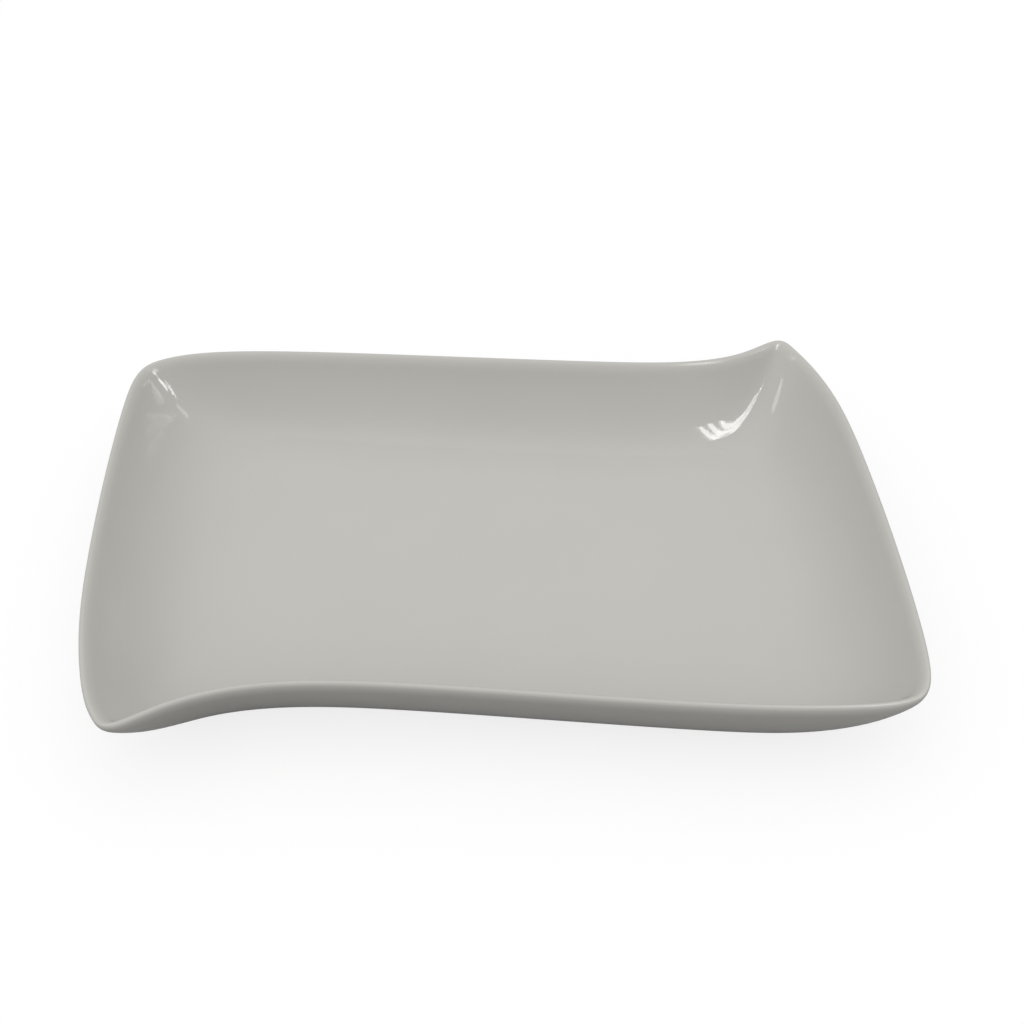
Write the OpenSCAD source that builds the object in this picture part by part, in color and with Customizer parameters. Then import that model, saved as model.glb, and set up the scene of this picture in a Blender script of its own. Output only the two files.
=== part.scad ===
// Rectangular serving platter with a waved rim, in glazed porcelain.
// The long sides swell and then hollow, two opposite corners are drawn out to a tip and the
// other two are rounded. The outline is the same after half a turn about the upright axis.
// Millimetres, Z up, origin on the table under the middle of the platter.

/* [Platter] */
// Overall length, glaze included
length = 370; // [330:1:450]
// Overall width, glaze included
width = 250; // [215:1:305]
// Overall height, glaze included
height = 48; // [38:0.5:60]

/* [Long sides] */
// How far a long side swings in from its crown to its hollow
wave_depth = 20; // [8:0.5:26]
// Distance from the platter's end to the start of the crown, at the rounded corner
crown_from = 33; // [26:1:45]
// Distance from the same end to the finish of the crown
crown_to = 80; // [60:1:105]
// How much the crown swings in over that length
crown_tilt = 1.4; // [0:0.1:4]
// Distance from the platter's other end to the start of the hollow
hollow_from = 122; // [100:1:150]
// Distance from the same end to the finish of the hollow
hollow_to = 78; // [64:1:92]
// How much the hollow swings in over that length
hollow_tilt = 1; // [0:0.1:4]

/* [Pointed corners] */
// How far the point stops short of the platter's end
tip_in = 25.4; // [14:0.1:34]
// How far the point is drawn past the crown of the long side
tip_out = 2.3; // [0:0.1:8]
// Length of the drawn-out stretch before the point
tip_leg = 20; // [14:0.5:30]
// How far inside the crown that stretch starts
tip_flare = 12.8; // [8:0.1:16]
// Width of the blunt point, along the platter
tip_w = 12.6; // [8:0.1:20]
// How far inside the crown the blunt point turns towards the short side
tip_turn = 7.7; // [2:0.1:10]
// How far inside the crown the short side's shoulder stands, past the blunt point
tip_shoulder = 18.6; // [14:0.1:30]

/* [Short sides] */
// Distance from the crown to the start of a short side, at its pointed corner
side_from = 55; // [44:1:70]
// How far that start stands in from the platter's end
side_in = 4.5; // [0:0.5:10]
// Distance from the other crown to the finish of the short side
side_to = 36; // [28:1:50]
// How far the short side bows out between them
side_bow = 1.8; // [0:0.1:5]
// How far the rounded corner is cut back along each side
corner_cut = 10.5; // [8:0.5:24]
// How far the short side draws in at that cut
corner_ease_short = 1.5; // [0:0.1:5]
// How far the long side draws in at that cut
corner_ease_long = 2.5; // [0:0.1:5]

/* [Rim height] */
// Fall of the rim from its highest stretch to the corners
corner_dip = 3; // [0:0.1:8]
// Further fall where the valley of a pointed corner meets the rim
tip_pinch = 0.9; // [0:0.1:4]
// How far the rim rises at the point, above that dip
tip_lift = 1.3; // [0:0.1:4]
// How much further the rim dips at the shoulder past the point
shoulder_dip = 1.5; // [0:0.1:4]
// Further fall where the valley of a rounded corner meets the rim
corner_pinch = 1; // [0:0.1:4]
// Fall of the rim from its highest stretch to a long side's crown
crown_dip = 2; // [0:0.1:5]
// Fall of the rim from its highest stretch to a short side
side_dip = 1; // [0:0.1:5]

/* [Well] */
// Width of the long walls, seen from above
long_wall = 28; // [20:0.5:40]
// Width of the short walls, seen from above
short_wall = 50; // [36:0.5:64]
// Radius of the floor under a rounded corner
floor_round = 26; // [18:0.5:46]
// Radius of the floor under a pointed corner
tip_round = 24; // [18:0.5:46]
// How far the floor reaches past its end into a pointed corner
tip_reach = 5; // [0:0.5:10]
// How much further in the floor's edge swings than the rim, along a hollow
hollow_in = 3; // [0:0.5:8]
// Length of the floor's edge that runs on straight beside those rounds
floor_run = 16; // [8:0.5:20]
// How much the floor's edge draws in over that length beside a rounded corner
floor_ease = 3; // [0:0.1:5]
// Turn of the elliptical wall from the floor to the rim, degrees
wall_sweep = 60; // [50:1:76]
// How much less the wall turns up in a pointed corner, which so leans outwards, degrees
tip_lean = 24; // [0:1:30]

/* [Shell] */
// Thickness of the porcelain at the rim, which is rounded over
rim_t = 4; // [3:0.1:6]
// Thickness of the porcelain in the floor
base_t = 4.8; // [3.5:0.1:7]
// Thickness of the glaze
glaze_t = 0.3; // [0.2:0.05:0.6]

/* [Foot] */
// Height of the foot ring
foot_h = 3.6; // [2:0.1:6]
// Width of the standing face
foot_w = 5; // [3:0.25:9]
// Distance from the edge of the floor in to the foot ring
foot_in = 9; // [4:0.5:16]

/* [Hidden] */

// Stations along each stretch of the outline, and the step that finds its direction
station_steps = 4;
run_step = 0.02;
// Rings up the inside, over the rim and down the outside
inner_rings = 7;
rim_rings = 6;
outer_rings = 5;

// Half sizes of the line through the middle of the rim
half_l = length / 2 - rim_t / 2 - glaze_t;
half_w = width / 2 - rim_t / 2 - glaze_t;
// Height that this line is steered to: it passes below its highest point by a sixth of the
// falls on either side of that point
crest_over = (crown_dip / 2 + corner_dip / 2) / 6;
rim_z = height - rim_t / 2 - glaze_t + crest_over;
// Half sizes of the floor, and its middle height
floor_l = half_l - short_wall;
floor_w = half_w - long_wall;
floor_z = foot_h + base_t / 2;

function mix(a, b, t) = a + (b - a) * t;
function unit(v) = v / norm(v);
function half_turn(p) = [-p[0], -p[1], p[2], p[3]];
function closed_by_half_turn(half) = concat(half, [for (p = half) half_turn(p)]);

// Points that steer half of the rim line: back side from left to right, then right side forward.
// Each holds a place and the wall's turn there.
function rim_point(x, y, dip, lean) = [x, y, rim_z - dip, wall_sweep - lean];
crown_a = rim_point(-half_l + crown_from, half_w + crown_tilt / 2, crown_dip, 0);
crown_b = rim_point(-half_l + crown_to, half_w - crown_tilt / 2, crown_dip, 0);
hollow_y = half_w - wave_depth;
hollow_a = rim_point(half_l - hollow_from, hollow_y + hollow_tilt / 2, 0, tip_lean / 4);
hollow_b = rim_point(half_l - hollow_to, hollow_y - hollow_tilt / 2, corner_dip / 2, tip_lean / 2);
tip_x = half_l - tip_in;
flare = rim_point(tip_x - tip_leg, half_w - tip_flare, corner_dip, tip_lean);
tip = rim_point(tip_x, half_w + tip_out, corner_dip - tip_lift, tip_lean);
heel = rim_point(tip_x + tip_w / 2, half_w - tip_turn, corner_dip + tip_pinch, tip_lean);
shoulder = rim_point(tip_x + tip_w, half_w - tip_shoulder, corner_dip + shoulder_dip, tip_lean);
side_a = rim_point(half_l - side_in, half_w - side_from, side_dip, tip_lean / 2);
side_b = rim_point(half_l, -half_w + side_to, side_dip, 0);
bow = [side_bow, 0, 0, 0];
corner_fall = corner_dip + corner_pinch;
corner_a = rim_point(half_l - corner_ease_short, -half_w + corner_cut, corner_fall, 0);
corner_b = rim_point(half_l - corner_cut, -half_w + corner_ease_long, corner_fall, 0);
rim_steer = closed_by_half_turn([
    crown_a, crown_b, mix(crown_b, hollow_a, 1 / 2), hollow_a, hollow_b,
    flare, tip, heel, shoulder,
    side_a, mix(side_a, side_b, 1 / 3) + bow, mix(side_a, side_b, 2 / 3) + bow, side_b,
    corner_a, corner_b
]);

// Points that steer half of the floor's edge, in the same order
function floor_arc(centre, radius, turn) = [
    centre[0] + radius * cos(turn), centre[1] + radius * sin(turn), floor_z, 0
];
floor_hollow = floor_w - wave_depth - hollow_in;
tip_well = [floor_l + tip_reach - tip_round, floor_hollow - tip_round];
corner_well = [floor_l - floor_round, -floor_w + floor_round];
floor_crown_a = half_turn(floor_arc(corner_well, floor_round, -90));
floor_crown_b = floor_crown_a + [floor_run, -floor_ease, 0, 0];
floor_tip = floor_arc(tip_well, tip_round, 90);
floor_hollow_b = floor_tip - [floor_run, 0, 0, 0];
floor_hollow_a = floor_hollow_b - [2 * floor_run, 0, 0, 0];
floor_side_a = floor_arc(tip_well, tip_round, 0);
floor_side_b = floor_arc(corner_well, floor_round, 0);
floor_steer = closed_by_half_turn([
    floor_crown_a, floor_crown_b, mix(floor_crown_b, floor_hollow_a, 1 / 2), floor_hollow_a, floor_hollow_b,
    floor_tip, floor_arc(tip_well, tip_round, 60), floor_arc(tip_well, tip_round, 30), floor_side_a,
    mix(floor_side_a, floor_side_b, 1 / 4), mix(floor_side_a, floor_side_b, 1 / 2),
    mix(floor_side_a, floor_side_b, 3 / 4), floor_side_b,
    floor_arc(corner_well, floor_round, -30), floor_arc(corner_well, floor_round, -60)
]);

// Closed cubic spline steered by a list of points
function steer(list, i) = list[(i + len(list)) % len(list)];
function spline(list, u) =
    let (i = floor(u), t = u - i)
    (pow(1 - t, 3) * steer(list, i - 1) + (3 * pow(t, 3) - 6 * t * t + 4) * steer(list, i)
     + (3 * t * t + 3 * t + 1 - 3 * pow(t, 3)) * steer(list, i + 1) + pow(t, 3) * steer(list, i + 2)) / 6;

// Middle of the wall at u along the outline, from the floor's edge at q = 0 to the rim at q = 1
function wall_mid(u, q) =
    let (f = spline(floor_steer, u), r = spline(rim_steer, u), sweep = r[3])
    let (out = sin(sweep * q) / sin(sweep), up = (1 - cos(sweep * q)) / (1 - cos(sweep)))
    [mix(f[0], r[0], out), mix(f[1], r[1], out), mix(f[2], r[2], up)];
function wall_up(u, q) =
    let (f = spline(floor_steer, u), r = spline(rim_steer, u), sweep = r[3])
    let (out = cos(sweep * q) / sin(sweep), up = sin(sweep * q) / (1 - cos(sweep)))
    unit([(r[0] - f[0]) * out, (r[1] - f[1]) * out, (r[2] - f[2]) * up]);
function wall_run(u, q) = unit(wall_mid(u + run_step, q) - wall_mid(u - run_step, q));
function wall_normal(u, q) = unit(cross(wall_run(u, q), wall_up(u, q)));
function half_t(q, skin) = mix(base_t, rim_t, q) / 2 + skin;

// Section of the shell at u: up the inside, over the rim and down the outside
function section(u, skin) =
    let (across = wall_normal(u, 1), top = wall_up(u, 1))
    concat(
        [for (j = [0 : inner_rings])
            let (q = j / inner_rings)
            wall_mid(u, q) + wall_normal(u, q) * half_t(q, skin)],
        [for (j = [1 : rim_rings - 1])
            let (turn = 180 * j / rim_rings)
            wall_mid(u, 1) + (across * cos(turn) + top * sin(turn)) * half_t(1, skin)],
        [for (j = [0 : outer_rings])
            let (q = 1 - j / outer_rings)
            wall_mid(u, q) - wall_normal(u, q) * half_t(q, skin)]
    );
stations = len(rim_steer) * station_steps;
function shell_sections(skin) = [for (k = [0 : stations - 1]) section(k / station_steps, skin)];

// Edge of the floor moved inwards, seen from above
function floor_inset(u, distance) =
    let (edge = wall_mid(u, 0), run = wall_run(u, 0))
    [edge[0] + run[1] * distance, edge[1] - run[0] * distance];
function floor_loop(distance) = [for (k = [0 : stations - 1]) floor_inset(k / station_steps, distance)];
foot_outside = floor_loop(foot_in);
foot_inside = floor_loop(foot_in + foot_w);

// Triangles between neighbouring rows of a closed grid that starts at point number first
function next(k) = (k + 1) % stations;
function grid_faces(first, rows, flip) = [
    for (k = [0 : stations - 1], j = [0 : rows - 2])
        let (a = first + k * rows + j, b = first + next(k) * rows + j)
        each flip ? [[a, b, b + 1], [a, b + 1, a + 1]] : [[a, b + 1, b], [a, a + 1, b + 1]]
];
function row_loop(first, rows, j, flip) = [
    for (k = [0 : stations - 1]) first + (flip ? stations - 1 - k : k) * rows + j
];
function flat_list(grid) = [for (row = grid) each row];

module porcelain_body() {
    shell = shell_sections(0);
    rows = len(shell[0]);
    color([0.93, 0.92, 0.89])
    polyhedron(
        points = flat_list(shell),
        faces = concat(
            grid_faces(0, rows, false),
            [row_loop(0, rows, 0, false), row_loop(0, rows, rows - 1, true)]
        ),
        convexity = 6
    );
}

module foot_ring() {
    color([0.86, 0.83, 0.77])
    linear_extrude(foot_h)
    difference() {
        polygon(foot_outside);
        polygon(foot_inside);
    }
}

// Glaze over the inside, the rim and the outside, as far in as the foot ring
module glaze_coat() {
    under_z = foot_h - glaze_t;
    body_skin = shell_sections(0);
    glaze_skin = shell_sections(glaze_t);
    inner = [for (k = [0 : stations - 1]) concat(
        body_skin[k], [[foot_outside[k][0], foot_outside[k][1], foot_h]])];
    outer = [for (k = [0 : stations - 1]) concat(
        glaze_skin[k], [[foot_outside[k][0], foot_outside[k][1], under_z]])];
    rows = len(inner[0]);
    first_outer = stations * rows;
    foot_edge = [
        for (k = [0 : stations - 1])
            let (a = k * rows + rows - 1, b = next(k) * rows + rows - 1)
            each [[a, b, first_outer + b], [a, first_outer + b, first_outer + a]]
    ];
    color([0.78, 0.77, 0.74])
    polyhedron(
        points = concat(flat_list(inner), flat_list(outer)),
        faces = concat(
            grid_faces(0, rows, true),
            grid_faces(first_outer, rows, false),
            [row_loop(0, rows, 0, true), row_loop(first_outer, rows, 0, false)],
            foot_edge
        ),
        convexity = 6
    );
}

// Glaze on the underside, inside the foot ring
module base_glaze() {
    color([0.78, 0.77, 0.74])
    translate([0, 0, foot_h - glaze_t])
    linear_extrude(glaze_t)
    polygon(foot_inside);
}

porcelain_body();
foot_ring();
glaze_coat();
base_glaze();
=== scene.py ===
import math

import bpy
from mathutils import Matrix, Vector


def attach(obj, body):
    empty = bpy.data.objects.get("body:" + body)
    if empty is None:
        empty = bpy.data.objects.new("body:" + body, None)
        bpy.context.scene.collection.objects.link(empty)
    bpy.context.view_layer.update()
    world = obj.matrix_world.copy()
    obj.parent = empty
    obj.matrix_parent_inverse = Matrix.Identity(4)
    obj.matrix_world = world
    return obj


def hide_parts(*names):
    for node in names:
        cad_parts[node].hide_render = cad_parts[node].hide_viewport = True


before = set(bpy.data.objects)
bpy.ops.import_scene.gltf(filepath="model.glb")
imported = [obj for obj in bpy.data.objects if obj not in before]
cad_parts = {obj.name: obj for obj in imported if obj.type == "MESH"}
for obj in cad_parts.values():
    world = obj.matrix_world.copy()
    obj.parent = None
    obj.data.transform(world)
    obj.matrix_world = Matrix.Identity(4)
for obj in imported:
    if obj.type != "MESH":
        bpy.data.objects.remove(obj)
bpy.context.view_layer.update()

# Porcelain body: the fired clay shell, a flat floor with steep walls that swell and hollow along the
# long sides, drawn out to a point at two corners and rounded at the other two. It is pressed in one
# piece. Every section of its wall is part of an ellipse, from the floor's edge up to the rim.
length, width, height = 0.370, 0.250, 0.048
rim_t, base_t, glaze_t = 0.004, 0.0048, 0.0003
foot_h, foot_in = 0.0036, 0.009

# A long side swells at its crown, draws in at its hollow and ends in a tip. A short side runs from the
# tip to a rounded corner. Each dip is how far the rim lies below its highest line.
wave_depth = 0.020
crown_from, crown_to, crown_tilt = 0.033, 0.080, 0.0014
hollow_from, hollow_to, hollow_tilt = 0.122, 0.078, 0.001
tip_in, tip_out, tip_leg, tip_flare = 0.0254, 0.0023, 0.020, 0.0128
tip_w, tip_turn, tip_shoulder = 0.0126, 0.0077, 0.0186
side_from, side_to, side_in, side_bow = 0.055, 0.036, 0.0045, 0.0018
corner_cut, corner_ease_short, corner_ease_long = 0.0105, 0.0015, 0.0025
corner_dip, crown_dip, side_dip = 0.003, 0.002, 0.001
tip_pinch, tip_lift, shoulder_dip, corner_pinch = 0.0009, 0.0013, 0.0015, 0.001

# The floor's edge lies inside the rim by the walls' reach. The wall turns up from it, less so at a tip,
# and rounds off to the rim over the last twentieth of its climb.
long_wall, short_wall = 0.028, 0.050
floor_round, floor_run, floor_ease = 0.026, 0.016, 0.003
tip_round, tip_reach, hollow_in = 0.024, 0.005, 0.003
wall_turn, tip_lean = math.radians(60), math.radians(24)
rim_taper = 0.05

# The mesh: steps between two steering points of a line, rows of faces along a section of the shell, how
# near two points are when they are made one, and the angle from which an edge is shown sharp.
line_steps = 20
shell_rows = {"floor": 10, "inside": 30, "rim": 12, "outside": 22, "skirt": 3, "base": 4}
weld = 0.00001
sharp_from = math.radians(40)

clay_grey, clay_pale = (0.76, 0.74, 0.70, 1), (0.83, 0.81, 0.77, 1)
clay_clouds, clay_grain, clay_grain_deep, clay_rough = 60, 4000, 0.00004, 0.6

half_l = length / 2 - rim_t / 2 - glaze_t
half_w = width / 2 - rim_t / 2 - glaze_t

# The rim's highest stretch is pulled down by a sixth of its neighbours' dips, so it is set up by as much.
crest_over = (crown_dip / 2 + corner_dip / 2) / 6
rim_z = height - rim_t / 2 - glaze_t + crest_over
floor_l, floor_w = half_l - short_wall, half_w - long_wall
floor_z = foot_h + base_t / 2
scene = bpy.context.scene


def rim_point(x, y, dip, lean=0.0):
    """A point that steers the rim, with the turn of the wall below it as its fourth number."""
    return Vector((x, y, rim_z - dip, wall_turn - lean))


def floor_arc(centre, radius, degrees):
    """A point that steers the floor's edge round one of its corners."""
    turn = math.radians(degrees)
    return Vector((centre[0] + radius * math.cos(turn), centre[1] + radius * math.sin(turn), floor_z, 0))


def guide_line(name, half):
    """A smooth closed line steered by the points of one half, and by the same points half a turn round."""
    curve = bpy.data.curves.new(name, "CURVE")
    curve.dimensions = "3D"
    curve.resolution_u = line_steps
    spline = curve.splines.new("NURBS")
    steer = half + [Vector((-p[0], -p[1], p[2], p[3])) for p in half]
    spline.points.add(len(steer) - 1)
    for point, (x, y, z, turn) in zip(spline.points, steer):
        point.co = (x, y, z, 1)
        point.tilt = turn
    spline.order_u = 4
    spline.use_cyclic_u = True
    line = bpy.data.objects.new(name, curve)
    scene.collection.objects.link(line)
    return line


crown_a = rim_point(-half_l + crown_from, half_w + crown_tilt / 2, crown_dip)
crown_b = rim_point(-half_l + crown_to, half_w - crown_tilt / 2, crown_dip)
hollow_y = half_w - wave_depth
hollow_a = rim_point(half_l - hollow_from, hollow_y + hollow_tilt / 2, 0, tip_lean / 4)
hollow_b = rim_point(half_l - hollow_to, hollow_y - hollow_tilt / 2, corner_dip / 2, tip_lean / 2)
tip_x = half_l - tip_in
side_a = rim_point(half_l - side_in, half_w - side_from, side_dip, tip_lean / 2)
side_b = rim_point(half_l, -half_w + side_to, side_dip)
bow = Vector((side_bow, 0, 0, 0))
corner_fall = corner_dip + corner_pinch
rim_line = guide_line("rim_line", [
    crown_a, crown_b, crown_b.lerp(hollow_a, 1 / 2), hollow_a, hollow_b,
    rim_point(tip_x - tip_leg, half_w - tip_flare, corner_dip, tip_lean),
    rim_point(tip_x, half_w + tip_out, corner_dip - tip_lift, tip_lean),
    rim_point(tip_x + tip_w / 2, half_w - tip_turn, corner_dip + tip_pinch, tip_lean),
    rim_point(tip_x + tip_w, half_w - tip_shoulder, corner_dip + shoulder_dip, tip_lean),
    side_a, side_a.lerp(side_b, 1 / 3) + bow, side_a.lerp(side_b, 2 / 3) + bow, side_b,
    rim_point(half_l - corner_ease_short, -half_w + corner_cut, corner_fall),
    rim_point(half_l - corner_cut, -half_w + corner_ease_long, corner_fall),
])

tip_well = (floor_l + tip_reach - tip_round, floor_w - wave_depth - hollow_in - tip_round)
corner_well = (floor_l - floor_round, -floor_w + floor_round)
floor_crown_a = Vector((-corner_well[0], floor_w, floor_z, 0))
floor_crown_b = floor_crown_a + Vector((floor_run, -floor_ease, 0, 0))
floor_tip = floor_arc(tip_well, tip_round, 90)
floor_hollow_b = floor_tip - Vector((floor_run, 0, 0, 0))
floor_hollow_a = floor_hollow_b - Vector((2 * floor_run, 0, 0, 0))
floor_side_a = floor_arc(tip_well, tip_round, 0)
floor_side_b = floor_arc(corner_well, floor_round, 0)
floor_line = guide_line("floor_line", [
    floor_crown_a, floor_crown_b, floor_crown_b.lerp(floor_hollow_a, 1 / 2), floor_hollow_a, floor_hollow_b,
    floor_tip, floor_arc(tip_well, tip_round, 60), floor_arc(tip_well, tip_round, 30), floor_side_a,
    *[floor_side_a.lerp(floor_side_b, share) for share in (1 / 4, 1 / 2, 3 / 4)], floor_side_b,
    floor_arc(corner_well, floor_round, -30), floor_arc(corner_well, floor_round, -60),
])


def new_tree(name, inputs, outputs):
    """A Geometry Nodes tree with named inputs and outputs, given as name: socket type."""
    tree = bpy.data.node_groups.new(name, "GeometryNodeTree")
    for way, sockets in (("INPUT", inputs), ("OUTPUT", outputs)):
        for socket, kind in sockets.items():
            tree.interface.new_socket(socket, in_out=way, socket_type="NodeSocket" + kind)
    return tree, tree.nodes.new("NodeGroupInput").outputs, tree.nodes.new("NodeGroupOutput").inputs


def feed(tree, socket, value):
    """Links a socket to another one, or sets it to a plain value."""
    if isinstance(value, bpy.types.NodeSocket):
        tree.links.new(value, socket)
    else:
        socket.default_value = value


def add(tree, kind, inputs=None, **settings):
    """A node of a tree, with its settings made and its inputs fed by name."""
    node = tree.nodes.new(kind)
    for name, value in settings.items():
        setattr(node, name, value)
    for name, value in (inputs or {}).items():
        feed(tree, node.inputs[name], value)
    return node


def number(tree, operation, *values, clamp=False):
    """The result of a sum on numbers."""
    node = add(tree, "ShaderNodeMath", operation=operation, use_clamp=clamp)
    for socket, value in zip(node.inputs, values):
        feed(tree, socket, value)
    return node.outputs[0]


def vector(tree, operation, *values):
    """The result of a sum on vectors."""
    node = add(tree, "ShaderNodeVectorMath", operation=operation)
    for socket, value in zip(node.inputs, values):
        feed(tree, socket, value)
    return node.outputs["Vector"]


def scaled(tree, value, share):
    """A vector made longer or shorter."""
    inputs = {"Vector": value, "Scale": share}
    return add(tree, "ShaderNodeVectorMath", inputs, operation="SCALE").outputs["Vector"]


def xyz(tree, x, y, z):
    """A vector put together from three numbers."""
    return add(tree, "ShaderNodeCombineXYZ", {"X": x, "Y": y, "Z": z}).outputs[0]


def between(tree, share, low, high):
    """A number between two, by a share."""
    return add(tree, "ShaderNodeMix", {"Factor": share, "A": low, "B": high}).outputs["Result"]


def welded(tree, mesh):
    """A mesh whose points that lie on each other are made one."""
    return add(tree, "GeometryNodeMergeByDistance", {"Geometry": mesh, "Distance": weld}).outputs[0]


def wall_point_tree():
    """Middle of the wall at one station of the guide lines, and the way up it, at a share of its height."""
    tree, given, made = new_tree(
        "Wall Point",
        {"Rim Points": "Geometry", "Floor Points": "Geometry", "Station": "Int", "Climb": "Float"},
        {"Middle": "Vector", "Upward": "Vector"},
    )
    sample = {}
    position = add(tree, "GeometryNodeInputPosition").outputs[0]
    turn = add(tree, "GeometryNodeInputNamedAttribute", {"Name": "turn"}).outputs["Attribute"]
    for name, points, kind, value in (
        ("rim", "Rim Points", "FLOAT_VECTOR", position),
        ("turn", "Rim Points", "FLOAT", turn),
        ("floor", "Floor Points", "FLOAT_VECTOR", position),
    ):
        inputs = {"Geometry": given[points], "Value": value, "Index": given["Station"]}
        sample[name] = add(tree, "GeometryNodeSampleIndex", inputs, data_type=kind).outputs[0]
    swing = number(tree, "MULTIPLY", sample["turn"], given["Climb"])
    sine, cosine = (number(tree, kind, swing) for kind in ("SINE", "COSINE"))
    full_sine = number(tree, "SINE", sample["turn"])
    full_rise = number(tree, "SUBTRACT", 1.0, number(tree, "COSINE", sample["turn"]))
    span = vector(tree, "SUBTRACT", sample["rim"], sample["floor"])
    out = number(tree, "DIVIDE", sine, full_sine)
    up = number(tree, "DIVIDE", number(tree, "SUBTRACT", 1.0, cosine), full_rise)
    step = vector(tree, "MULTIPLY", span, xyz(tree, out, out, up))
    feed(tree, made["Middle"], vector(tree, "ADD", sample["floor"], step))
    out_rate = number(tree, "DIVIDE", cosine, full_sine)
    up_rate = number(tree, "DIVIDE", sine, full_rise)
    rate = vector(tree, "MULTIPLY", span, xyz(tree, out_rate, out_rate, up_rate))
    feed(tree, made["Upward"], vector(tree, "NORMALIZE", rate))
    return tree


def guide_points(tree, line):
    """Evenly stepped points of a guide line, each with the wall's turn as an attribute."""
    curve = add(tree, "GeometryNodeObjectInfo", {"Object": line}).outputs["Geometry"]
    tilt = add(tree, "GeometryNodeInputCurveTilt").outputs[0]
    inputs = {"Geometry": curve, "Name": "turn", "Value": tilt}
    marked = add(tree, "GeometryNodeStoreNamedAttribute", inputs).outputs[0]
    points = add(tree, "GeometryNodeCurveToPoints", {"Curve": marked}, mode="EVALUATED")
    return points.outputs["Points"]


shell_sockets = {
    "Rim Line": "Object", "Floor Line": "Object", "Rim Thickness": "Float", "Floor Thickness": "Float",
    "Rim Taper": "Float", "Foot Inset": "Float",
}


def shell_tree():
    """The whole closed shell: floor, inside of the wall, rim, outside of the wall and underside."""
    tree, given, made = new_tree("Waved Shell", shell_sockets, {"Mesh": "Geometry"})
    rows = sum(shell_rows.values()) + 1
    rim, floor = (guide_points(tree, given[name]) for name in ("Rim Line", "Floor Line"))
    count = add(tree, "GeometryNodeAttributeDomainSize", {"Geometry": rim}, component="POINTCLOUD")
    stations = count.outputs["Point Count"]
    columns = number(tree, "ADD", stations, 1)
    grid = add(tree, "GeometryNodeMeshGrid", {"Vertices X": columns, "Vertices Y": rows}).outputs["Mesh"]
    index = add(tree, "GeometryNodeInputIndex").outputs[0]
    station = number(tree, "FLOOR", number(tree, "DIVIDE", number(tree, "ADD", index, 0.5), rows))
    row = number(tree, "SUBTRACT", index, number(tree, "MULTIPLY", station, rows))
    share, first = {}, 0
    for name, steps in shell_rows.items():
        past = number(tree, "SUBTRACT", row, first)
        share[name] = number(tree, "DIVIDE", past, steps, clamp=True)
        first += steps
    roll = number(tree, "MULTIPLY", share["rim"], math.pi)
    crest = number(tree, "SINE", roll)
    wall_share = number(tree, "SUBTRACT", share["inside"], share["outside"])
    climb = number(
        tree, "ADD",
        number(tree, "MULTIPLY", wall_share, number(tree, "SUBTRACT", 1.0, given["Rim Taper"])),
        number(tree, "MULTIPLY", crest, given["Rim Taper"]),
    )

    wall_point = wall_point_tree()
    wall = []
    for offset in (-1, 0, 1):
        beside = number(tree, "FLOORED_MODULO", number(tree, "ADD", station, offset), stations)
        inputs = {"Rim Points": rim, "Floor Points": floor, "Station": beside, "Climb": climb}
        wall.append(add(tree, "GeometryNodeGroup", inputs, node_tree=wall_point).outputs)
    middle, upward = wall[1]["Middle"], wall[1]["Upward"]
    run = vector(tree, "SUBTRACT", wall[2]["Middle"], wall[0]["Middle"])
    across = vector(tree, "NORMALIZE", vector(tree, "CROSS_PRODUCT", run, upward))
    inward = vector(tree, "NORMALIZE", vector(tree, "CROSS_PRODUCT", run, (0, 0, 1)))

    thickness = between(tree, climb, given["Floor Thickness"], given["Rim Thickness"])
    facing = vector(
        tree, "ADD",
        scaled(tree, across, number(tree, "COSINE", roll)),
        scaled(tree, upward, crest),
    )
    place = vector(tree, "ADD", middle, scaled(tree, facing, number(tree, "DIVIDE", thickness, 2)))
    skirt = number(tree, "MULTIPLY", share["skirt"], given["Foot Inset"])
    place = vector(tree, "ADD", place, scaled(tree, inward, skirt))
    open_share = number(tree, "MULTIPLY", share["floor"], number(tree, "SUBTRACT", 1.0, share["base"]))
    place = vector(tree, "MULTIPLY", place, xyz(tree, open_share, open_share, 1.0))

    mesh = add(tree, "GeometryNodeSetPosition", {"Geometry": grid, "Position": place}).outputs[0]
    for name, value in (("climb", climb), ("base", share["base"])):
        inputs = {"Geometry": mesh, "Name": name, "Value": value}
        mesh = add(tree, "GeometryNodeStoreNamedAttribute", inputs).outputs[0]
    feed(tree, made["Mesh"], welded(tree, mesh))
    return tree


def finish_tree(tree, mesh, material):
    """The closing nodes of every piece's tree: smooth shading, real geometry and its material."""
    smooth = add(tree, "GeometryNodeSetShadeSmooth", {"Geometry": mesh}).outputs[0]
    real = add(tree, "GeometryNodeRealizeInstances", {"Geometry": smooth}).outputs[0]
    return add(tree, "GeometryNodeSetMaterial", {"Geometry": real, "Material": material}).outputs[0]


def grown_piece(name, tree, values):
    """A plain mesh object made by a tree, with the tree's inputs set to these values."""
    piece = bpy.data.objects.new(name, bpy.data.meshes.new(name))
    scene.collection.objects.link(piece)
    modifier = piece.modifiers.new("shape", "NODES")
    modifier.node_group = tree
    for item in tree.interface.items_tree:
        if item.in_out == "INPUT":
            modifier[item.identifier] = values[item.name]
    graph = bpy.context.evaluated_depsgraph_get()
    mesh = bpy.data.meshes.new_from_object(piece.evaluated_get(graph))
    piece.modifiers.clear()
    piece.data = mesh
    mesh.name = name
    mesh.set_sharp_from_angle(angle=sharp_from)
    return piece


def surface(name):
    """A new material with a principled surface: itself, its nodes and the inputs of its surface node."""
    material = bpy.data.materials.new(name)
    material.use_nodes = True
    return material, material.node_tree, material.node_tree.nodes["Principled BSDF"].inputs


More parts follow.
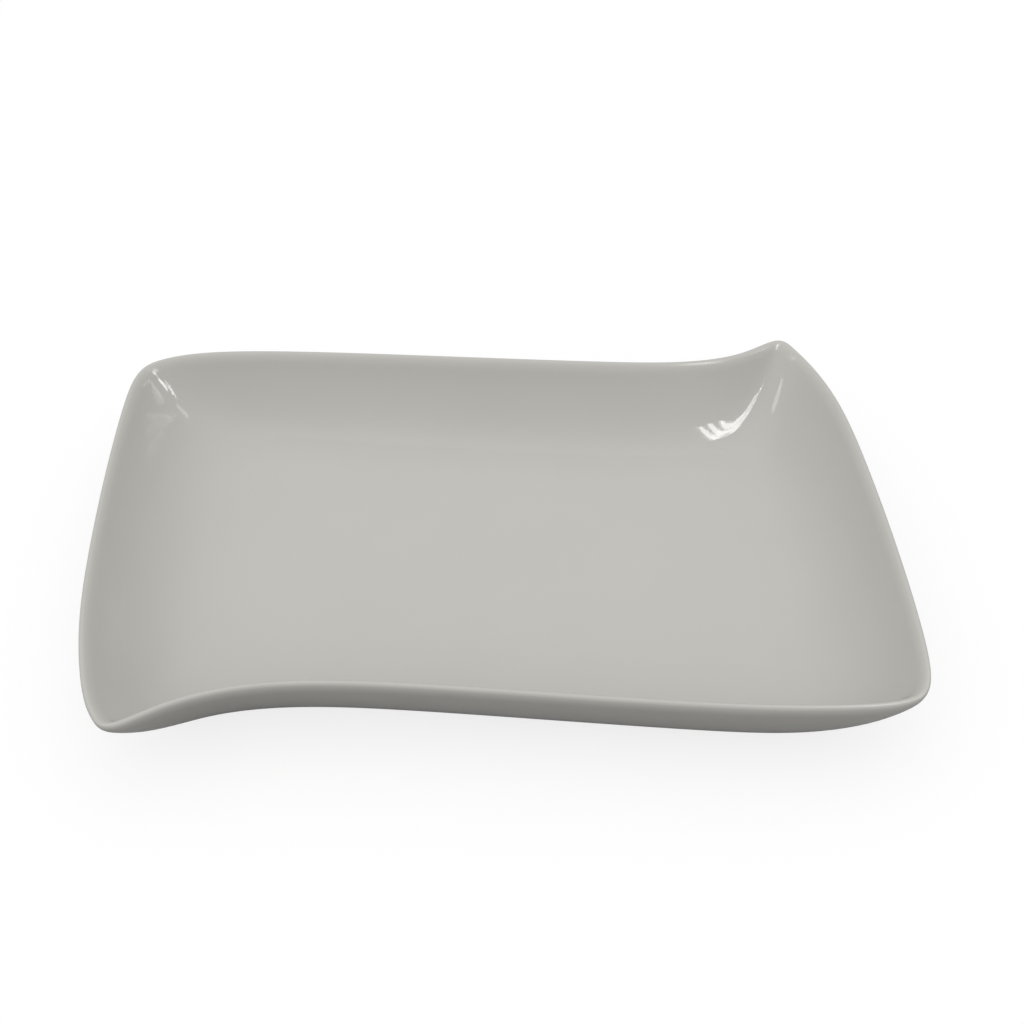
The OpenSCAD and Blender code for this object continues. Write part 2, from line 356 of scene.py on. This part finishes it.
def noise(tree, spots, detail, roughness=0.5):
    """A noise value on the object's own coordinates, with its size given in spots to the metre."""
    coordinates = add(tree, "ShaderNodeTexCoord").outputs["Object"]
    inputs = {"Vector": coordinates, "Scale": spots, "Detail": detail, "Roughness": roughness}
    return add(tree, "ShaderNodeTexNoise", inputs).outputs["Fac"]


def blend(tree, share, low, high):
    """A colour between two, by a share."""
    inputs = {"Factor": share, "A": low, "B": high}
    return add(tree, "ShaderNodeMix", inputs, data_type="RGBA").outputs["Result"]


def relief(tree, value, depth):
    """A bump of a given depth in metres."""
    inputs = {"Height": value, "Distance": depth, "Strength": 1.0}
    return add(tree, "ShaderNodeBump", inputs).outputs[0]


porcelain, tree, shader = surface("fired_porcelain")
clouds = noise(tree, clay_clouds, detail=4)
feed(tree, shader["Base Color"], blend(tree, clouds, clay_grey, clay_pale))
feed(tree, shader["Roughness"], clay_rough)
feed(tree, shader["Normal"], relief(tree, noise(tree, clay_grain, detail=3), clay_grain_deep))

waved_shell = shell_tree()
shell_sizes = {
    "Rim Line": rim_line, "Floor Line": floor_line, "Rim Thickness": rim_t, "Floor Thickness": base_t,
    "Rim Taper": rim_taper, "Foot Inset": foot_in,
}
sockets = shell_sockets | {"Material": "Material"}
tree, given, made = new_tree("Porcelain Body", sockets, {"Mesh": "Geometry"})
inputs = {name: given[name] for name in shell_sizes}
shell = add(tree, "GeometryNodeGroup", inputs, node_tree=waved_shell).outputs["Mesh"]
feed(tree, made["Mesh"], finish_tree(tree, shell, given["Material"]))
porcelain_body = grown_piece("porcelain_shell", tree, shell_sizes | {"Material": porcelain})
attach(porcelain_body, "root")
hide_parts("porcelain_body")

# Foot ring: the low ring under the floor that the platter stands on. It is bare porcelain, wiped free
# of glaze before firing and ground flat after it, with its edges a little rounded by the grinding.
foot_w, foot_round, foot_round_steps = 0.005, 0.0008, 5
bare_dark, bare_pale = (0.60, 0.57, 0.51, 1), (0.72, 0.69, 0.62, 1)
bare_clouds, bare_grain, bare_grain_deep, bare_rough = 180, 2600, 0.0001, 0.78

bare_clay, tree, shader = surface("ground_bare_porcelain")
clouds = noise(tree, bare_clouds, detail=5)
grain = noise(tree, bare_grain, detail=4, roughness=0.7)
feed(tree, shader["Base Color"], blend(tree, clouds, bare_dark, bare_pale))
feed(tree, shader["Roughness"], bare_rough)
feed(tree, shader["Normal"], relief(tree, grain, bare_grain_deep))


def inset_line(tree, line, distance, z):
    """The floor's edge moved in by a distance, at a height."""
    curve = add(tree, "GeometryNodeObjectInfo", {"Object": line}).outputs["Geometry"]
    curve = add(tree, "GeometryNodeResampleCurve", {"Curve": curve}, mode="EVALUATED").outputs[0]
    tangent = add(tree, "GeometryNodeInputTangent").outputs[0]
    inward = vector(tree, "CROSS_PRODUCT", tangent, (0, 0, 1))
    flat = vector(tree, "MULTIPLY", add(tree, "GeometryNodeInputPosition").outputs[0], (1, 1, 0))
    place = vector(tree, "ADD", flat, scaled(tree, inward, distance))
    place = vector(tree, "ADD", place, xyz(tree, 0.0, 0.0, z))
    curve = add(tree, "GeometryNodeSetPosition", {"Geometry": curve, "Position": place}).outputs[0]
    flat_tilt = add(tree, "GeometryNodeSetCurveTilt", {"Curve": curve, "Tilt": 0.0}).outputs[0]
    return add(tree, "GeometryNodeSetCurveNormal", {"Curve": flat_tilt}, mode="Z_UP").outputs[0]


tree, given, made = new_tree(
    "Foot Ring",
    {"Floor Line": "Object", "Inset": "Float", "Width": "Float", "Height": "Float", "Edge Radius": "Float",
     "Material": "Material"},
    {"Mesh": "Geometry"},
)
middle = number(tree, "ADD", given["Inset"], number(tree, "DIVIDE", given["Width"], 2))
line = inset_line(tree, given["Floor Line"], middle, number(tree, "DIVIDE", given["Height"], 2))
inputs = {"Width": given["Width"], "Height": given["Height"]}
section = add(tree, "GeometryNodeCurvePrimitiveQuadrilateral", inputs).outputs[0]
inputs = {"Curve": section, "Count": foot_round_steps, "Radius": given["Edge Radius"]}
section = add(tree, "GeometryNodeFilletCurve", inputs, mode="POLY").outputs[0]
ring = add(tree, "GeometryNodeCurveToMesh", {"Curve": line, "Profile Curve": section}).outputs[0]
feed(tree, made["Mesh"], finish_tree(tree, ring, given["Material"]))
foot_ring = grown_piece("standing_ring", tree, {
    "Floor Line": floor_line, "Inset": foot_in, "Width": foot_w, "Height": foot_h,
    "Edge Radius": foot_round, "Material": bare_clay,
})
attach(foot_ring, "root")
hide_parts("foot_ring")

# Glaze coat: the skin of clear gloss glaze, melted onto the body over the inside, the rim and the
# outside down to the foot ring. It is a little clouded and rippled, and it runs thin over the rim,
# where it is warmer and less glossy.
glaze_pale, glaze_grey = (0.558, 0.549, 0.516, 1), (0.536, 0.528, 0.497, 1)
glaze_thin, thin_nearness = (0.540, 0.529, 0.494, 1), 12.0
rim_matt, matt_nearness = 0.26, 40.0
gloss_rough, gloss_spread = 0.06, 0.03
cloud_spots, gloss_spots, ripple_spots, pit_spots = 22, 140, 30, 420
ripple_deep, pit_share = 0.00003, 0.04

glaze, tree, shader = surface("gloss_glaze")
climb = add(tree, "ShaderNodeAttribute", attribute_name="climb").outputs["Fac"]
cloud = blend(tree, noise(tree, cloud_spots, detail=5), glaze_grey, glaze_pale)
thinned = number(tree, "POWER", climb, thin_nearness)
feed(tree, shader["Base Color"], blend(tree, thinned, cloud, glaze_thin))
gloss = number(tree, "MULTIPLY_ADD", noise(tree, gloss_spots, detail=4), gloss_spread, gloss_rough)
on_rim = number(tree, "POWER", climb, matt_nearness)
feed(tree, shader["Roughness"], number(tree, "MULTIPLY_ADD", on_rim, rim_matt, gloss))
pits = number(tree, "MULTIPLY", noise(tree, pit_spots, detail=2), pit_share)
ripple = number(tree, "ADD", noise(tree, ripple_spots, detail=2), pits)
feed(tree, shader["Normal"], relief(tree, ripple, ripple_deep))


def thickened(tree, sheet, thickness):
    """An open sheet made into a closed skin that stands out from its front."""
    inputs = {"Mesh": sheet, "Offset Scale": thickness, "Individual": False}
    outer = add(tree, "GeometryNodeExtrudeMesh", inputs)
    inner = add(tree, "GeometryNodeFlipFaces", {"Mesh": sheet})
    both = add(tree, "GeometryNodeJoinGeometry")
    for side in (outer, inner):
        tree.links.new(side.outputs["Mesh"], both.inputs[0])
    return welded(tree, both.outputs[0])


sockets = shell_sockets | {"Glaze Thickness": "Float", "Material": "Material"}
tree, given, made = new_tree("Glaze Coat", sockets, {"Mesh": "Geometry"})
inputs = {name: given[name] for name in shell_sizes}
shell = add(tree, "GeometryNodeGroup", inputs, node_tree=waved_shell).outputs["Mesh"]
base = add(tree, "GeometryNodeInputNamedAttribute", {"Name": "base"}).outputs["Attribute"]
inputs = {"Geometry": shell, "Selection": number(tree, "GREATER_THAN", base, 0.0)}
skin = add(tree, "GeometryNodeDeleteGeometry", inputs).outputs[0]
coat = thickened(tree, skin, given["Glaze Thickness"])
feed(tree, made["Mesh"], finish_tree(tree, coat, given["Material"]))
glaze_coat = grown_piece("glaze_skin", tree, shell_sizes | {"Glaze Thickness": glaze_t, "Material": glaze})
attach(glaze_coat, "root")
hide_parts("glaze_coat")

# Base glaze: the patch of the same glaze on the underside, inside the foot ring. The bare ring parts
# it from the rest of the coat. It is the last piece shaped by the guide lines, so they go after it.
tree, given, made = new_tree(
    "Base Glaze",
    {"Floor Line": "Object", "Inset": "Float", "Height": "Float", "Glaze Thickness": "Float",
     "Material": "Material"},
    {"Mesh": "Geometry"},
)
edge = inset_line(tree, given["Floor Line"], given["Inset"], 0.0)
patch = add(tree, "GeometryNodeFillCurve", {"Curve": edge}, mode="NGONS").outputs[0]
lift = xyz(tree, 0.0, 0.0, number(tree, "SUBTRACT", given["Height"], given["Glaze Thickness"]))
patch = add(tree, "GeometryNodeSetPosition", {"Geometry": patch, "Offset": lift}).outputs[0]
patch = thickened(tree, patch, given["Glaze Thickness"])
feed(tree, made["Mesh"], finish_tree(tree, patch, given["Material"]))
base_glaze = grown_piece("base_glaze_patch", tree, {
    "Floor Line": floor_line, "Inset": foot_in + foot_w, "Height": foot_h, "Glaze Thickness": glaze_t,
    "Material": glaze,
})
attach(base_glaze, "root")
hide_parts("base_glaze")
for line in (rim_line, floor_line):
    bpy.data.objects.remove(line)

# Table: a wide white surface that the platter stands on, which runs out into the white background.
# To the camera it is white with a pale shadow, and the light it throws back is that of a grey mat.
table_half = 6.0
table_shade, table_glow, table_gloss, table_bounce = 0.22, 0.79, 0.5, 0.16
white_from, white_at = 0.3, 1.1

table_mesh = bpy.data.meshes.new("table")
corners = [(x * table_half, y * table_half, 0) for x, y in ((-1, -1), (1, -1), (1, 1), (-1, 1))]
table_mesh.from_pydata(corners, [], [(0, 1, 2, 3)])
table = bpy.data.objects.new("table", table_mesh)
scene.collection.objects.link(table)
table_white, tree, _ = surface("table_white")
table_mesh.materials.append(table_white)
tree.nodes.remove(tree.nodes["Principled BSDF"])


def matt(tree, shade):
    """A matt grey surface."""
    return add(tree, "ShaderNodeBsdfDiffuse", {"Color": (shade, shade, shade, 1)}).outputs[0]


def glow(tree, strength):
    """A surface that shines white."""
    return add(tree, "ShaderNodeEmission", {"Color": (1, 1, 1, 1), "Strength": strength}).outputs[0]


def either(tree, share, low, high):
    """One of two surfaces, by a share."""
    node = add(tree, "ShaderNodeMixShader", {"Fac": share})
    tree.links.new(low, node.inputs[1])
    tree.links.new(high, node.inputs[2])
    return node.outputs[0]


path = add(tree, "ShaderNodeLightPath").outputs
mirrored = number(tree, "MAXIMUM", path["Is Glossy Ray"], path["Is Transmission Ray"])
place = add(tree, "ShaderNodeTexCoord").outputs["Object"]
away = add(tree, "ShaderNodeVectorMath", {"Vector": place}, operation="LENGTH").outputs["Value"]
inputs = {"Value": away, "From Min": white_from, "From Max": white_at}
far_out = add(tree, "ShaderNodeMapRange", inputs, interpolation_type="SMOOTHSTEP").outputs["Result"]
shaded = add(tree, "ShaderNodeAddShader")
for socket, part in zip(shaded.inputs, (matt(tree, table_shade), glow(tree, table_glow))):
    tree.links.new(part, socket)
shown = either(tree, far_out, shaded.outputs[0], glow(tree, 1.0))
in_gloss = either(tree, far_out, matt(tree, table_gloss), glow(tree, 1.0))
thrown_back = either(tree, mirrored, matt(tree, table_bounce), in_gloss)
whole = either(tree, path["Is Camera Ray"], thrown_back, shown)
tree.links.new(whole, tree.nodes["Material Output"].inputs["Surface"])

# Room: white to the camera. Its light on the platter is strongest from overhead and a little from the
# front, and the gloss mirrors a mid grey. Bar lamps show only in the gloss, as streaks in the corners:
# the three slats of a near lamp, and three lamps at the ceiling.
room_low, room_high, room_narrow, room_in_gloss = 0.52, 0.98, 2.0, 0.5
brightest = Vector((-0.09, -0.2, 0.976))
near_height, ceiling = 0.4, 2.0
lamp_shine, left_shine, faint_shine = 12, 3, 2.5

scene.view_settings.view_transform = "Standard"
world = bpy.data.worlds.new("room")
world.use_nodes = True
scene.world = world
tree = world.node_tree
path = add(tree, "ShaderNodeLightPath").outputs
shown = number(tree, "MAXIMUM", path["Is Camera Ray"], path["Is Transmission Ray"])
background = tree.nodes["Background"].inputs
background["Color"].default_value = (1, 1, 1, 1)
way = add(tree, "ShaderNodeTexCoord").outputs["Generated"]
toward = add(tree, "ShaderNodeVectorMath", operation="DOT_PRODUCT")
for socket, value in zip(toward.inputs, (way, brightest)):
    feed(tree, socket, value)
overhead = number(tree, "POWER", number(tree, "MAXIMUM", toward.outputs["Value"], 0.0), room_narrow)
strength = number(tree, "MULTIPLY_ADD", overhead, room_high, room_low)
for share, level in ((path["Is Glossy Ray"], room_in_gloss), (shown, 1.0)):
    strength = between(tree, share, strength, level)
feed(tree, background["Strength"], strength)


def bar_lamp(name, start, end, level, wide, shine):
    """A flat lamp between two points that faces down, as bright as shine times a white surface."""
    start, end = Vector((*start, level)), Vector((*end, level))
    run = end - start
    lamp = bpy.data.lights.new(name, "AREA")
    lamp.shape = "RECTANGLE"
    lamp.size, lamp.size_y = wide, run.length
    lamp.energy = shine * math.pi * wide * run.length
    holder = bpy.data.objects.new(name, lamp)
    holder.location = (start + end) / 2
    holder.rotation_euler.z = math.atan2(-run.x, run.y)
    holder.visible_camera = False
    holder.visible_diffuse = False
    scene.collection.objects.link(holder)


bar_lamp("slat_left", (0.307, -0.29), (0.235, 0.03), near_height, 0.017, lamp_shine)
bar_lamp("slat_middle", (0.363, -0.30), (0.262, 0.0), near_height, 0.023, lamp_shine)
bar_lamp("slat_right", (0.430, -0.29), (0.305, -0.05), near_height, 0.025, lamp_shine)
bar_lamp("right_lamp", (2.9, -0.55), (4.5, -0.75), ceiling, 0.95, lamp_shine)
bar_lamp("right_lamp_faint", (1.5, 0.85), (2.2, 0.66), ceiling, 0.6, faint_shine)
bar_lamp("left_lamp", (-3.0, 0.2), (-1.8, 0.62), ceiling, 0.30, left_shine)

# Camera: at the photograph's viewing angle, 44 degrees up and 0.66 m off, a little to the left of the
# platter's middle. Its lens is given by the focal length in pixels of the photograph's frame.
aim = Vector((0.0106, -0.0025, 0.0442))
distance, rise = 0.6559, math.radians(44.09)
swing, tilt = math.radians(-1.42), math.radians(-0.52)
focal_pixels, image_pixels = 1400, 1024

camera = bpy.data.cameras.new("camera")
camera.sensor_width = 36.0
camera.lens = camera.sensor_width * focal_pixels / image_pixels
camera_holder = bpy.data.objects.new("camera", camera)
scene.collection.objects.link(camera_holder)
turn = Matrix.Rotation(swing, 3, "Z") @ Matrix.Rotation(math.pi / 2 - rise, 3, "X")
back = turn @ Vector((0, 0, 1))
tilted = turn @ Matrix.Rotation(tilt, 3, "Z")
camera_holder.matrix_world = Matrix.Translation(aim + back * distance) @ tilted.to_4x4()
scene.camera = camera_holder
